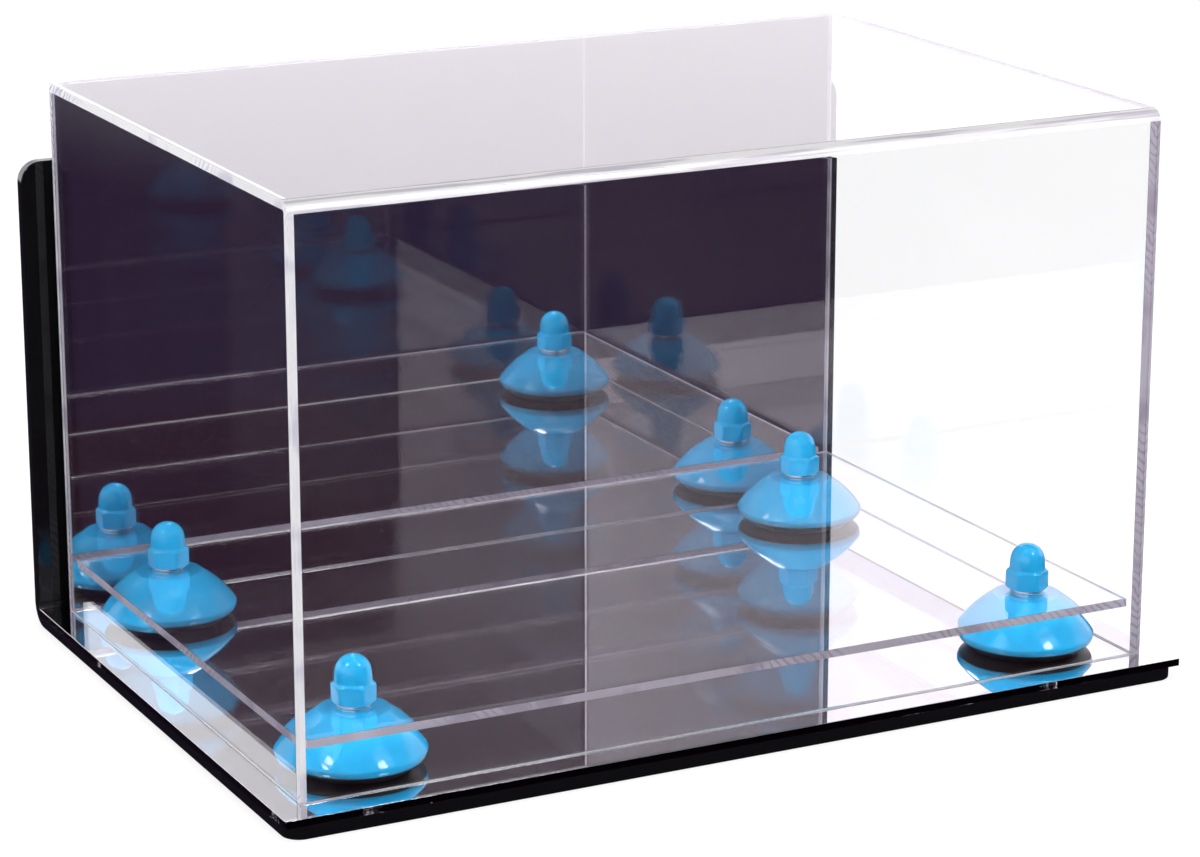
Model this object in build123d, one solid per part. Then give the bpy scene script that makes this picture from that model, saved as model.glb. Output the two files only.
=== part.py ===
"""Cap display case: clear lift-off cover, mirror base, deck on four domed risers, wall bracket.

Frame: millimetres, +X along the length of the case, +Z up, the front faces -Y. The origin is
the bottom centre of the whole case, on the underside of the wall bracket.

How it goes together: four flat-head screws pass up through the bracket's shelf, the mirror
base, a hollow domed riser on its foot ring and the deck, and end in domed cap nuts over
washers. The cover stands on the mirror base round the deck. Its front and top are one sheet,
bent along the front edge, with two side walls and a mirror back panel cemented in behind it.
"""
import os
from math import cos, radians, sin, tan

from build123d import *

# Cover, outside sizes and sheet
case_length = 300.0
case_depth = 204.0
case_height = 183.0
wall_sheet = 2.8
cover_bend_inner_radius = 1.6

# Mirror base
base_sheet = 2.5
base_overhang_side = 9.0
base_overhang_front = 10.0
base_overhang_back = 5.4
screw_clearance = 0.35

# Wall bracket, one bent sheet
bracket_sheet = 4.5
bracket_bend_inner_radius = 3.5
bracket_side_inset = 1.0
bracket_front_inset = 0.4
bracket_height = 162.0
shelf_corner_radius = 6.0
leg_corner_radius = 7.0
bracket_edge_break = 0.4

# Wall screw holes in the bracket's upright leg
wall_hole_spacing = 203.2
wall_hole_diameter = 5.2
wall_hole_head_diameter = 9.6
wall_hole_drop = 26.0
wall_head_angle = 90.0

# Deck
deck_sheet = 2.8
deck_gap = 1.2

# Screws, washers and cap nuts
screw_inset_side = 28.5
screw_inset_front = 26.5
screw_diameter = 6.35
screw_head_diameter = 12.4
screw_head_angle = 82.0
screw_head_rim = 0.4
screw_thread_engagement = 9.5
screw_tip_chamfer = 0.8
screw_recess_width = 1.3
screw_recess_length = 6.4
screw_recess_depth = 2.0
countersink_clearance = 0.1
washer_diameter = 11.0
washer_thickness = 1.0
washer_bore_clearance = 0.3
nut_across_flats = 12.6
nut_hex_height = 6.6
nut_height = 15.2
nut_dome_foot_diameter = 10.7
nut_dome_diameter = 10.0
nut_bore_clearance = 0.12
nut_bore_spare = 1.2
nut_chamfer_angle = 30.0
nut_foot_diameter = 12.2

# Domed risers, each on a black foot ring
riser_height = 16.2
riser_diameter = 45.0
riser_top_diameter = 23.0
riser_belly_height = 5.3
riser_rim_inset = 0.5
riser_wall = 2.2
riser_top_wall = 2.6
riser_boss_wall = 2.6
riser_top_edge_radius = 0.8
riser_bulge = 0.6
foot_height = 3.0
foot_taper = 3.8
foot_land_width = 2.7

# Heights above the underside of the bracket
base_bottom_z = bracket_sheet
base_top_z = base_bottom_z + base_sheet
deck_bottom_z = base_top_z + riser_height
deck_top_z = deck_bottom_z + deck_sheet
nut_bottom_z = deck_top_z + washer_thickness
screw_tip_z = nut_bottom_z + screw_thread_engagement
cover_top_z = base_top_z + case_height

# Plan sizes, with the case's own centre set so that the whole depth is centred on the origin
base_length = case_length + 2 * base_overhang_side
base_front = case_depth / 2 + base_overhang_front
base_back = case_depth / 2 + base_overhang_back
leg_front = base_back + bracket_bend_inner_radius
leg_back = leg_front + bracket_sheet
case_y = (base_front - leg_back) / 2
bracket_length = base_length - 2 * bracket_side_inset
inner_length = case_length - 2 * wall_sheet
inner_depth = case_depth - 2 * wall_sheet
deck_length = inner_length - 2 * deck_gap
deck_depth = inner_depth - 2 * deck_gap
bracket_bend_outer_radius = bracket_bend_inner_radius + bracket_sheet

screw_hole_diameter = screw_diameter + 2 * screw_clearance
screw_x = case_length / 2 - screw_inset_side
screw_y = case_depth / 2 - screw_inset_front
screw_places = {
    "front_left": (-screw_x, case_y - screw_y),
    "front_right": (screw_x, case_y - screw_y),
    "back_left": (-screw_x, case_y + screw_y),
    "back_right": (screw_x, case_y + screw_y),
}
cut_margin = 1.0


def flat_sheet(length, depth, thickness, bottom_z, centre_y):
    """A flat rectangular sheet centred on X, with its underside at bottom_z."""
    return Pos(0, centre_y, bottom_z) * Box(
        length, depth, thickness, align=(Align.CENTER, Align.CENTER, Align.MIN)
    )


def screw_holes(bottom_z, thickness):
    """Four drills, one at each screw, right through a sheet at bottom_z."""
    drills = []
    for x, y in screw_places.values():
        drill = Cylinder(
            screw_hole_diameter / 2,
            thickness + 2 * cut_margin,
            align=(Align.CENTER, Align.CENTER, Align.MIN),
        )
        drills.append(Pos(x, y, bottom_z - cut_margin) * drill)
    return drills


def bent_profile(leg_y, foot_y, top_z, foot_z, thickness, inner_radius):
    """Section of a sheet bent once, in the YZ plane.

    The upright leg has its outer face at leg_y and rises to top_z. The foot has its outer face
    at foot_z and ends at foot_y. The bend joins them with concentric arcs.
    """
    side = 1 if leg_y > foot_y else -1
    rise = 1 if top_z > foot_z else -1
    outer_radius = inner_radius + thickness
    centre = Vector(leg_y - side * outer_radius, foot_z + rise * outer_radius)
    diagonal = Vector(side * cos(radians(45)), -rise * sin(radians(45)))
    leg_in = leg_y - side * thickness
    foot_in = foot_z + rise * thickness
    outer_start = (centre.X, foot_z)
    outer_end = (leg_y, centre.Y)
    inner_start = (leg_in, centre.Y)
    inner_end = (centre.X, foot_in)
    outer_mid = centre + diagonal * outer_radius
    inner_mid = centre + diagonal * inner_radius
    with BuildSketch(Plane.YZ) as profile:
        with BuildLine():
            Line((foot_y, foot_z), outer_start)
            ThreePointArc(outer_start, (outer_mid.X, outer_mid.Y), outer_end)
            Line(outer_end, (leg_y, top_z))
            Line((leg_y, top_z), (leg_in, top_z))
            Line((leg_in, top_z), inner_start)
            ThreePointArc(inner_start, (inner_mid.X, inner_mid.Y), inner_end)
            Line(inner_end, (foot_y, foot_in))
            Line((foot_y, foot_in), (foot_y, foot_z))
        make_face()
    return profile.sketch


def countersink(x, y, bottom_z):
    """The conical seat of one flat-head screw, opening downwards at bottom_z."""
    head_radius = screw_head_diameter / 2 + countersink_clearance
    hole_radius = screw_hole_diameter / 2
    rim = screw_head_rim + countersink_clearance
    depth = (head_radius - hole_radius) / tan(radians(screw_head_angle / 2))
    seat = Cylinder(head_radius, rim + cut_margin, align=(Align.CENTER, Align.CENTER, Align.MIN))
    cone = Cone(head_radius, hole_radius, depth, align=(Align.CENTER, Align.CENTER, Align.MIN))
    tool = Pos(0, 0, -cut_margin) * seat + Pos(0, 0, rim) * cone
    return Pos(x, y, bottom_z) * tool


def make_bracket():
    """The bent wall bracket: a shelf under the base and an upright leg behind the cover."""
    front = case_y - base_front + bracket_front_inset
    back = case_y + leg_back
    profile = bent_profile(back, front, bracket_height, 0.0, bracket_sheet, bracket_bend_inner_radius)
    bracket = extrude(profile, bracket_length / 2, both=True, dir=(1, 0, 0))

    shelf_corners = bracket.edges().filter_by(Axis.Z).group_by(Axis.Y)[0]
    bracket = fillet(shelf_corners, shelf_corner_radius)
    leg_corners = bracket.edges().filter_by(Axis.Y).group_by(Axis.Z)[-1]
    bracket = fillet(leg_corners, leg_corner_radius)
    rims = bracket.faces().filter_by(Axis.Z).sort_by(Axis.Z)[0].outer_wire().edges()
    front_rim = rims.filter_by(lambda edge: edge.center().Y < back - bracket_bend_outer_radius)
    bracket = chamfer(front_rim, bracket_edge_break)

    for drill in screw_holes(0.0, bracket_sheet):
        bracket -= drill
    for x, y in screw_places.values():
        bracket -= countersink(x, y, 0.0)

    hole_z = bracket_height - wall_hole_drop
    sink_depth = (wall_hole_head_diameter - wall_hole_diameter) / 2 / tan(radians(wall_head_angle / 2))
    for x in (-wall_hole_spacing / 2, wall_hole_spacing / 2):
        face = Plane(origin=(x, case_y + leg_front, hole_z), z_dir=(0, 1, 0))
        hole = Cylinder(wall_hole_diameter / 2, 3 * bracket_sheet)
        sink = Cone(
            wall_hole_head_diameter / 2,
            wall_hole_diameter / 2,
            sink_depth,
            align=(Align.CENTER, Align.CENTER, Align.MIN),
        )
        bracket -= face * hole
        bracket -= face * sink
    return bracket


def make_base_mirror():
    """The mirror sheet that the cover and the risers stand on."""
    depth = base_front + base_back
    centre_y = case_y + (base_back - base_front) / 2
    sheet = flat_sheet(base_length, depth, base_sheet, base_bottom_z, centre_y)
    for drill in screw_holes(base_bottom_z, base_sheet):
        sheet -= drill
    return sheet


def make_deck():
    """The clear deck that the displayed thing stands on, just inside the cover."""
    sheet = flat_sheet(deck_length, deck_depth, deck_sheet, deck_bottom_z, case_y)
    for drill in screw_holes(deck_bottom_z, deck_sheet):
        sheet -= drill
    return sheet


def make_cover_wrap():
    """Front and top of the cover, one sheet bent along the front top edge."""
    front = case_y - case_depth / 2
    back = case_y + case_depth / 2
    profile = bent_profile(front, back, base_top_z, cover_top_z, wall_sheet, cover_bend_inner_radius)
    return extrude(profile, case_length / 2, both=True, dir=(1, 0, 0))


def make_cover_side(side):
    """One side wall, cemented behind the front and under the top. side is -1 or 1."""
    front = case_y - case_depth / 2 + wall_sheet
    back = case_y + case_depth / 2
    top = cover_top_z - wall_sheet
    wall = Pos(side * (case_length - wall_sheet) / 2, (front + back) / 2, base_top_z) * Box(
        wall_sheet,
        back - front,
        top - base_top_z,
        align=(Align.CENTER, Align.CENTER, Align.MIN),
    )
    corner = wall.edges().filter_by(Axis.X).group_by(Axis.Z)[-1].sort_by(Axis.Y)[0]
    return fillet(corner, cover_bend_inner_radius)


def make_cover_back():
    """The mirror back panel, set between the side walls and under the top."""
    centre_y = case_y + case_depth / 2 - wall_sheet / 2
    height = case_height - wall_sheet
    return flat_sheet(inner_length, wall_sheet, height, base_top_z, centre_y)


def make_riser():
    """One hollow domed riser about Z. Its boss stands at z = 0 and its rim on the foot ring."""
    outer = riser_diameter / 2
    rim = outer - riser_rim_inset
    top = riser_top_diameter / 2
    belly = riser_belly_height
    inner = outer - riser_wall
    inner_top = top - riser_top_edge_radius
    ceiling = riser_height - riser_top_wall
    bore = screw_hole_diameter / 2
    boss = bore + riser_boss_wall
    hip_rise = (belly - foot_height) * (1 - cos(radians(60)))
    hip = (rim + riser_rim_inset * sin(radians(60)), foot_height + hip_rise)
    side_run = Vector(top - outer, riser_height - belly)
    side_mid = Vector((outer + top) / 2, (belly + riser_height) / 2)
    normal = Vector(side_run.Y, -side_run.X).normalized()
    swell = side_mid + normal * riser_bulge
    with BuildSketch(Plane.XZ) as section:
        with BuildLine():
            ThreePointArc((rim, foot_height), hip, (outer, belly))
            ThreePointArc((outer, belly), (swell.X, swell.Y), (top, riser_height))
            Line((top, riser_height), (bore, riser_height))
            Line((bore, riser_height), (bore, 0))
            Line((bore, 0), (boss, 0))
            Line((boss, 0), (boss, ceiling))
            Line((boss, ceiling), (inner_top, ceiling))
            Line((inner_top, ceiling), (inner, belly))
            Line((inner, belly), (rim - riser_wall, foot_height))
            Line((rim - riser_wall, foot_height), (rim, foot_height))
        make_face()
    riser = revolve(section.sketch, Axis.Z)
    top_rim = riser.edges().filter_by(GeomType.CIRCLE).group_by(Axis.Z)[-1].sort_by(SortBy.RADIUS)[-1]
    return fillet(top_rim, riser_top_edge_radius)


def make_riser_foot():
    """The ring about Z that a riser's rim stands on, narrowing down to its land at z = 0."""
    rim = riser_diameter / 2 - riser_rim_inset
    land = rim - foot_taper
    inner = land - foot_land_width
    with BuildSketch(Plane.XZ) as section:
        with BuildLine():
            Line((inner, 0), (land, 0))
            Line((land, 0), (rim, foot_height))
            Line((rim, foot_height), (inner, foot_height))
            Line((inner, foot_height), (inner, 0))
        make_face()
    return revolve(section.sketch, Axis.Z)


def make_washer():
    """One flat washer about Z, lying at z = 0."""
    ring = Circle(washer_diameter / 2) - Circle(screw_diameter / 2 + washer_bore_clearance)
    return extrude(ring, washer_thickness)


def make_nut():
    """One domed cap nut about Z, standing at z = 0, with a blind bore for the screw."""
    corner = nut_across_flats / 2 / cos(radians(30))
    dome_foot = nut_dome_foot_diameter / 2
    dome = nut_dome_diameter / 2
    foot = nut_foot_diameter / 2
    shoulder = nut_height - dome
    reach = corner + cut_margin
    top_drop = (reach - dome_foot) * tan(radians(nut_chamfer_angle))
    foot_rise = (reach - foot) * tan(radians(nut_chamfer_angle))
    blank = extrude(RegularPolygon(corner, 6), nut_height)
    with BuildSketch(Plane.XZ) as outline:
        with BuildLine():
            Line((0, 0), (foot, 0))
            Line((foot, 0), (reach, foot_rise))
            Line((reach, foot_rise), (reach, nut_hex_height - top_drop))
            Line((reach, nut_hex_height - top_drop), (dome_foot, nut_hex_height))
            Line((dome_foot, nut_hex_height), (dome, shoulder))
            ThreePointArc(
                (dome, shoulder),
                (dome * cos(radians(45)), shoulder + dome * sin(radians(45))),
                (0, nut_height),
            )
            Line((0, nut_height), (0, 0))
        make_face()
    nut = blank & revolve(outline.sketch, Axis.Z)
    bore_radius = screw_diameter / 2 + nut_bore_clearance
    bore_depth = screw_thread_engagement + nut_bore_spare
    bore = Cylinder(
        bore_radius,
        bore_depth + cut_margin,
        align=(Align.CENTER, Align.CENTER, Align.MIN),
    )
    return nut - Pos(0, 0, -cut_margin) * bore


def make_screw():
    """One flat-head screw about Z, its head flush with z = 0 and its tip up."""
    head = screw_head_diameter / 2
    shank = screw_diameter / 2
    head_depth = (head - shank) / tan(radians(screw_head_angle / 2))
    with BuildSketch(Plane.XZ) as section:
        with BuildLine():
            Line((0, 0), (head, 0))
            Line((head, 0), (head, screw_head_rim))
            Line((head, screw_head_rim), (shank, screw_head_rim + head_depth))
            Line((shank, screw_head_rim + head_depth), (shank, screw_tip_z - screw_tip_chamfer))
            Line((shank, screw_tip_z - screw_tip_chamfer), (shank - screw_tip_chamfer, screw_tip_z))
            Line((shank - screw_tip_chamfer, screw_tip_z), (0, screw_tip_z))
            Line((0, screw_tip_z), (0, 0))
        make_face()
    screw = revolve(section.sketch, Axis.Z)
    for turn in (0, 90):
        slot = Box(
            screw_recess_length,
            screw_recess_width,
            screw_recess_depth + cut_margin,
            align=(Align.CENTER, Align.CENTER, Align.MIN),
        )
        screw -= Rot(0, 0, turn) * Pos(0, 0, -cut_margin) * slot
    return screw


def build_parts():
    """All pieces of the case, each under its own name."""
    parts = {
        "wall_bracket": make_bracket(),
        "base_mirror": make_base_mirror(),
        "deck": make_deck(),
        "cover_front_top": make_cover_wrap(),
        "cover_left_side": make_cover_side(-1),
        "cover_right_side": make_cover_side(1),
        "cover_back_mirror": make_cover_back(),
    }
    riser = make_riser()
    riser_foot = make_riser_foot()
    washer = make_washer()
    nut = make_nut()
    screw = make_screw()
    for place, (x, y) in screw_places.items():
        parts[f"riser_{place}"] = Pos(x, y, base_top_z) * riser
        parts[f"riser_foot_{place}"] = Pos(x, y, base_top_z) * riser_foot
        parts[f"washer_{place}"] = Pos(x, y, deck_top_z) * washer
        parts[f"cap_nut_{place}"] = Pos(x, y, nut_bottom_z) * nut
        parts[f"screw_{place}"] = Pos(x, y, 0) * screw
    return parts


os.makedirs("parts", exist_ok=True)
for name, solid in build_parts().items():
    export_step(solid, f"parts/{name}.step")
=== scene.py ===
"""Cap display case, dressed: clear lift-off cover, mirror base, deck on domed risers, wall bracket.

Every length is in metres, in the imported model's own frame: +X along the case, +Z up, the front
faces -Y, and z = 0 is the underside of the wall bracket.
"""

import logging
import math
from collections.abc import Callable, Iterable
from dataclasses import dataclass, field
from enum import Enum

import bmesh
import bpy
from bmesh.types import BMesh
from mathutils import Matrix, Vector


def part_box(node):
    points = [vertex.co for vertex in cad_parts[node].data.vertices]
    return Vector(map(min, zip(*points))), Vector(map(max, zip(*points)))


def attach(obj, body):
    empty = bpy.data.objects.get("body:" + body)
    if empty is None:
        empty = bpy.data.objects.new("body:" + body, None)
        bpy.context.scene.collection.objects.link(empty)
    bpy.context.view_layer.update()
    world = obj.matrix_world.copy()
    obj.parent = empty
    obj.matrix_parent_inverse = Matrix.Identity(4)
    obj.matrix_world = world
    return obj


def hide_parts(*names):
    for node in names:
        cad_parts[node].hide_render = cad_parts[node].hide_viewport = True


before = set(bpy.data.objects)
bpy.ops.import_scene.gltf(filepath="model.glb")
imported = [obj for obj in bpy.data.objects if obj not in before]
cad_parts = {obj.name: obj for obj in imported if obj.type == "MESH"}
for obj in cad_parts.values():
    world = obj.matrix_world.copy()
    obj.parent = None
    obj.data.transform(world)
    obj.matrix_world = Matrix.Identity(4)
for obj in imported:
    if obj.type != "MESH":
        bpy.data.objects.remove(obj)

LOG = logging.getLogger("cap_display_case")
PLACES = ("front_left", "front_right", "back_left", "back_right")
AIR_GAP = 0.00003
MERGE_DISTANCE = 1e-6
OUTER_BAND = 1e-5
SIDE_BAND = 1e-4
SQUARE_ON = 0.99
FLAT_ANGLE = math.radians(0.4)
SHARP_ANGLE = math.radians(35)
SCRATCH_STRETCH = (1.0, 0.012, 1.0)
SCRATCH_BREAK_SCALE = 0.4
SCRATCH_BREAKS = (0.6, 0.66)
BARE_CELLS = 0.45
ACRYLIC_IOR = 1.49
CAMERA_AZIMUTH = -27.04

Socket = bpy.types.NodeSocket
Material = bpy.types.Material
Object = bpy.types.Object
Colour = tuple[float, float, float, float]
Point = tuple[float, float]
Span = tuple[float, float]


class Body(Enum):
    """The CAD bodies that pieces ride on."""

    BASE = "base"
    COVER = "cover"


class Slot(Enum):
    """The material slots, by name."""

    CLEAR = "clear_acrylic"
    MIRROR = "mirror_acrylic"
    BLACK = "black_acrylic"
    BLUE = "blue_plastic"
    BLACK_PLASTIC = "black_plastic"
    STEEL = "steel"


class Way(Enum):
    """The six directions that a sheet's faces look."""

    LEFT = (-1.0, 0.0, 0.0)
    RIGHT = (1.0, 0.0, 0.0)
    FRONT = (0.0, -1.0, 0.0)
    BACK = (0.0, 1.0, 0.0)
    DOWN = (0.0, 0.0, -1.0)
    UP = (0.0, 0.0, 1.0)


class Graph:
    """A node tree, with short calls that add nodes and join them."""

    def __init__(self, tree: bpy.types.NodeTree) -> None:
        """Starts from an empty tree."""
        self.tree = tree
        tree.nodes.clear()

    def add(self, kind: str, inputs: dict | None = None, **settings: object) -> bpy.types.Node:
        """Adds a node.

        Args:
            kind: Blender's name for the node type.
            inputs: A value or a source socket for each input, by name or number.
            settings: The node's own properties.

        Returns:
            The new node.
        """
        node = self.tree.nodes.new(kind)
        for key, value in settings.items():
            setattr(node, key, value)
        for key, value in (inputs or {}).items():
            if isinstance(value, Socket):
                self.tree.links.new(value, node.inputs[key])
            else:
                node.inputs[key].default_value = value
        return node

    def math(self, operation: str, *terms: object) -> Socket:
        """The result of a Math node, from values or sockets."""
        return self.add("ShaderNodeMath", dict(enumerate(terms)), operation=operation).outputs[0]

    def step(self, value: object, start: float, end: float) -> Socket:
        """A smooth rise from 0 at start to 1 at end; start may be above end."""
        node = self.add(
            "ShaderNodeMapRange",
            {"Value": value, "From Min": start, "From Max": end},
            interpolation_type="SMOOTHSTEP",
        )
        return node.outputs["Result"]

    def mix(self, share: object, first: object, second: object) -> Socket:
        """The blend of two colours, second where share is 1."""
        node = self.add("ShaderNodeMix", data_type="RGBA")
        sockets = (node.inputs[0], node.inputs[6], node.inputs[7])
        for socket, value in zip(sockets, (share, first, second)):
            if isinstance(value, Socket):
                self.tree.links.new(value, socket)
            else:
                socket.default_value = value
        return node.outputs[2]

    def blend(self, share: object, first: object, second: object) -> Socket:
        """The blend of two shaders, second where share is 1."""
        return self.add("ShaderNodeMixShader", {0: share, 1: first, 2: second}).outputs[0]

    def coat(self, inputs: dict) -> Socket:
        """A Principled shader."""
        return self.add("ShaderNodeBsdfPrincipled", inputs).outputs[0]

    def glass(self, tint: Colour, roughness: object) -> Socket:
        """Clear acrylic."""
        return self.coat(
            {
                "Base Color": tint,
                "Roughness": roughness,
                "IOR": ACRYLIC_IOR,
                "Transmission Weight": 1.0,
            }
        )

    def milk_with_painted_glow(self, tone: object, roughness: float, lit: float) -> Socket:
        """Clouded acrylic with a painted glow: it gives off light of its own tone, though it is no lamp.
        """
        return self.coat(
            {
                "Base Color": tone,
                "Roughness": roughness,
                "IOR": ACRYLIC_IOR,
                "Emission Color": tone,
                "Emission Strength": lit,
            }
        )

    def relief(self, height: object, strength: float, depth: float) -> Socket:
        """The normal of a surface raised by height, with depth in metres."""
        node = self.add("ShaderNodeBump", {"Strength": strength, "Distance": depth, "Height": height})
        return node.outputs[0]

    def show(self, look: Socket) -> None:
        """Gives the material its look."""
        self.add("ShaderNodeOutputMaterial", {"Surface": look})

    def show_clear(self, look: Socket, shadow: Colour) -> None:
        """Gives the material its look, and lets lamps shine through it with a tint."""
        lamps = self.add("ShaderNodeBsdfTransparent", {"Color": shadow}).outputs[0]
        self.show(self.blend(self.to_lamp(), look, lamps))

    def to_lamp(self) -> Socket:
        """1 on rays that look for a lamp, and 0 on others."""
        return self.add("ShaderNodeLightPath").outputs["Is Shadow Ray"]

    def after(self, kind: str) -> Socket:
        """1 on rays that came by a Glossy, Diffuse or Transmission surface, and 0 on others."""
        depth = self.add("ShaderNodeLightPath").outputs[f"{kind} Depth"]
        return self.math("MINIMUM", depth, 1.0)

    def towards(self, way: object, direction: Vector) -> Socket:
        """The cosine of the angle between a way and a fixed direction."""
        ends = {0: way, 1: tuple(direction)}
        return self.add("ShaderNodeVectorMath", ends, operation="DOT_PRODUCT").outputs["Value"]

    def noise(self, place: object, scale: float, detail: float = 2.0) -> Socket:
        """Soft noise of about scale lumps to the metre."""
        node = self.add("ShaderNodeTexNoise", {"Vector": place, "Scale": scale, "Detail": detail})
        return node.outputs["Fac"]

    def stretched(self, place: object, size: tuple, turn: tuple) -> Socket:
        """The place scaled by size and then turned, in degrees about X, Y and Z."""
        node = self.add(
            "ShaderNodeMapping",
            {"Vector": place, "Scale": size, "Rotation": tuple(math.radians(a) for a in turn)},
        )
        return node.outputs[0]

    def hairlines(self, place: object, scale: float, width: float, turn: tuple) -> Socket:
        """A mask of short fine scratches, almost straight, along Y.

        Args:
            place: The socket that gives the place on the piece.
            scale: How close the scratches lie.
            width: How wide each one is, as a share of the noise.
            turn: Turn of the noise behind them, in degrees about X, Y and Z.

        Returns:
            1 on a scratch and 0 between them.
        """
        along = self.stretched(place, SCRATCH_STRETCH, turn)
        lines = self.math("ABSOLUTE", self.math("SUBTRACT", self.noise(along, scale, 0.0), 0.5))
        broken = self.step(self.noise(place, scale * SCRATCH_BREAK_SCALE, 1.0), *SCRATCH_BREAKS)
        return self.math("MULTIPLY", self.step(lines, width, 0.0), broken)

    def specks(self, place: object, spacing: float, radius: float) -> Socket:
        """A mask of scattered specks of dust.

        Args:
            place: The socket that gives the place on the piece.
            spacing: Mean distance between specks.
            radius: The largest speck's radius.

        Returns:
            1 on a speck and 0 between them.
        """
        cells = self.add("ShaderNodeTexVoronoi", {"Vector": place, "Scale": 1.0 / spacing})
        chance = self.add("ShaderNodeSeparateColor", {0: cells.outputs["Color"]})
        limit = self.math("MULTIPLY", chance.outputs[0], radius / spacing)
        nearer = self.math("LESS_THAN", cells.outputs["Distance"], limit)
        return self.math("MULTIPLY", nearer, self.math("GREATER_THAN", chance.outputs[1], BARE_CELLS))


def grey(value: float) -> Colour:
    """A neutral colour."""
    return (value, value, value, 1.0)


def surface(name: str) -> tuple[Graph, Material, Socket]:
    """A new material, its node graph and the socket that gives the place on the piece."""
    material = bpy.data.materials.new(name)
    material.use_nodes = True
    graph = Graph(material.node_tree)
    return graph, material, graph.add("ShaderNodeTexCoord").outputs["Object"]


@dataclass(frozen=True)
class ClearAcrylic:
    """Polished clear sheet, with a faint cool tint, fine scratches and a few specks of dust."""

    name: str = "clear_acrylic_sheet"
    tint: Colour = (0.995, 0.995, 1.0, 1.0)
    scratch_density: float = 70.0
    scratch_width: float = 0.0012
    scratch_turn: float = 35.0
    scratch_roughness: float = 0.02
    dust_colour: Colour = (0.7, 0.69, 0.72, 1.0)
    dust_spacing: float = 0.018
    dust_radius: float = 0.00025

    def build(self) -> Material:
        """The finished material."""
        graph, material, place = surface(self.name)
        turn = (0.0, 0.0, self.scratch_turn)
        scratches = graph.hairlines(place, self.scratch_density, self.scratch_width, turn)
        glass = graph.glass(self.tint, graph.math("MULTIPLY", scratches, self.scratch_roughness))
        dust = graph.add("ShaderNodeBsdfDiffuse", {"Color": self.dust_colour}).outputs[0]
        specks = graph.specks(place, self.dust_spacing, self.dust_radius)
        graph.show_clear(graph.blend(specks, glass, dust), self.tint)
        return material


@dataclass(frozen=True)
class CutEdge:
    """A sheet's sawn and polished edge, milky, with a painted glow standing in for the light that the
    sheet carries to it.
    """

    name: str = "bright_cover_edge"
    # glow: the edge's painted glow, its colour between the marks, which lit also gives off as light.
    glow: Colour = (0.97, 0.96, 0.99, 1.0)
    # shade: painted shade, the dark violet of the saw marks and dull patches.
    shade: Colour = (0.42, 0.40, 0.60, 1.0)
    tint: Colour = (0.97, 0.97, 1.0, 1.0)
    shadow: Colour = (0.8, 0.8, 0.84, 1.0)
    haze: float = 0.8
    # lit: strength of the painted glow that the edge gives off, though it is no lamp.
    lit: float = 0.3
    roughness: float = 0.16
    milky_roughness: float = 0.35
    translucence: float = 0.35
    saw_pitch: float = 0.0032
    saw_depth: float = 0.75
    saw_stroke: Span = (0.6, 0.74)
    saw_wander: float = 1.9
    wander_scale: float = 150.0
    worn: Span = (0.46, 0.6)
    worn_scale: float = 17.0
    patch: Span = (0.5, 0.66)
    patch_scale: float = 60.0
    patch_depth: float = 0.45

    def marks(self, graph: Graph, place: Socket) -> Socket:
        """How dark the saw marks and the dull patches are at a place on the edge; their dark violet is
        painted shade.
        """
        axes = graph.add("ShaderNodeSeparateXYZ", {0: place}).outputs
        along = graph.math("ADD", graph.math("ADD", axes[0], axes[1]), axes[2])
        wander = graph.math("MULTIPLY", graph.noise(place, self.wander_scale, 3.0), self.saw_wander)
        strokes = graph.math("ADD", graph.math("DIVIDE", along, self.saw_pitch), wander)
        stroke = graph.step(graph.math("FRACT", strokes), *self.saw_stroke)
        saw = graph.math("MULTIPLY", stroke, self.saw_depth)
        worn = graph.step(graph.noise(place, self.worn_scale, 1.0), *self.worn)
        patches = graph.step(graph.noise(place, self.patch_scale), *self.patch)
        dull = graph.math("MULTIPLY", patches, self.patch_depth)
        return graph.math("MAXIMUM", graph.math("MULTIPLY", saw, worn), dull)

    def build(self) -> Material:
        """The finished material."""
        graph, material, place = surface(self.name)
        tone = graph.mix(self.marks(graph, place), self.glow, self.shade)
        clear = graph.glass(self.tint, self.roughness)
        front = graph.milk_with_painted_glow(tone, self.milky_roughness, self.lit)
        back = graph.add("ShaderNodeBsdfTranslucent", {"Color": tone}).outputs[0]
        milky = graph.blend(self.translucence, front, back)
        graph.show_clear(graph.blend(self.haze, clear, milky), self.shadow)
        return material


@dataclass(frozen=True)
class HeatBend:
    """The stretch of clear sheet that was heated and bent, hazed in fine lines along the bend, with a
    painted glow.
    """

    name: str = "hazed_heat_bend"
    light: Colour = (0.97, 0.95, 0.98, 1.0)
    dim: Colour = (0.66, 0.62, 0.70, 1.0)
    tint: Colour = (0.99, 0.99, 1.0, 1.0)
    shadow: Colour = (0.9, 0.9, 0.92, 1.0)
    haze: float = 0.62
    # lit: strength of the painted glow that the haze gives off, though it is no lamp.
    lit: float = 0.22
    roughness: float = 0.03
    milky_roughness: float = 0.2
    draw: tuple = (0.02, 1.0, 1.0)
    line_scale: float = 900.0
    line: Span = (0.5, 0.6)

    def build(self) -> Material:
        """The finished material."""
        graph, material, place = surface(self.name)
        drawn = graph.stretched(place, self.draw, (0.0, 0.0, 0.0))
        lines = graph.step(graph.noise(drawn, self.line_scale), *self.line)
        tone = graph.mix(lines, self.light, self.dim)
        clear = graph.glass(self.tint, self.roughness)
        milky = graph.milk_with_painted_glow(tone, self.milky_roughness, self.lit)
        graph.show_clear(graph.blend(self.haze, clear, milky), self.shadow)
        return material


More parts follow.
